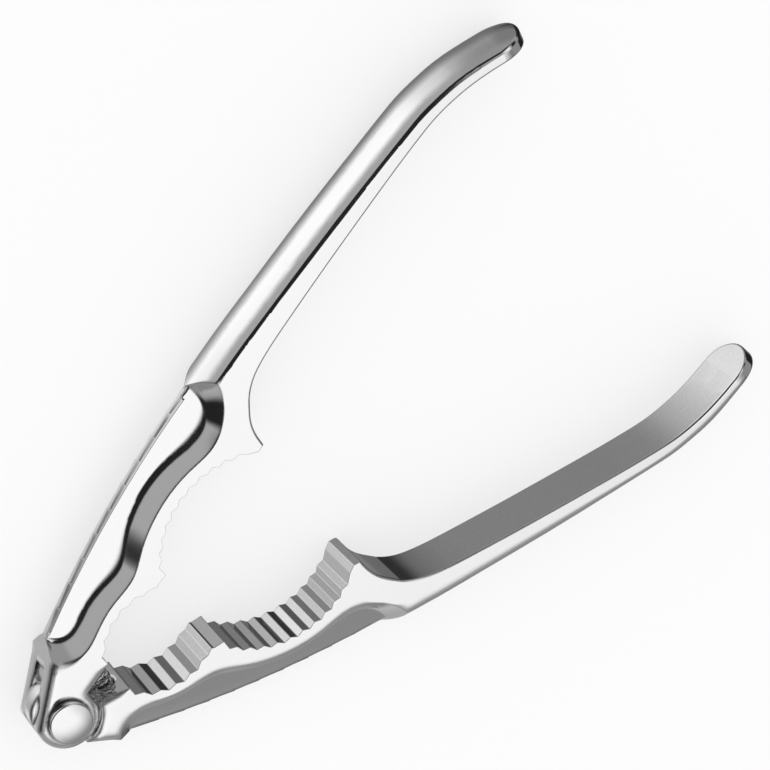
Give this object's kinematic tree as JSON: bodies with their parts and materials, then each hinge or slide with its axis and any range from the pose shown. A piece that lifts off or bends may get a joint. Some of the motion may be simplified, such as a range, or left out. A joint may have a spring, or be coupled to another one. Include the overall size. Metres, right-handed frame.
{
  "type": "hand nutcracker",
  "caption": "Open metal hand nutcracker: two chromed levers on one rivet, each with a small and a large toothed bowl, held open by a coil spring.",
  "frame": {"origin": "on the pivot axis, in the plane of the far side faces, on which the tool lies", "axes": "+Z along the pivot axis towards the rivet's domed head, +X from the pivot towards the handles along the line that halves the opening, +Y towards the fork lever"},
  "size_m": [0.1819, 0.116, 0.0178],
  "materials": {
    "chromed_lever": "bright chrome over a smooth casting, faintly rippled",
    "rivet_steel": "polished",
    "spring_steel": "drawn wire, nickel bright"
  },
  "bodies": {
    "fork": {"fork_lever": "chromed_lever", "pivot_rivet": "rivet_steel", "opening_spring": "spring_steel"},
    "tongue": {"tongue_lever": "chromed_lever"}
  },
  "joints": [
    {"name": "close", "type": "hinge", "parent": "fork", "child": "tongue", "pos_m": [0, 0, 0.0075], "axis": [0, 0, 1], "range_deg": [0, 30.4], "stiffness_Nm_per_rad": 1, "deforming": ["opening_spring"]}
  ]
}
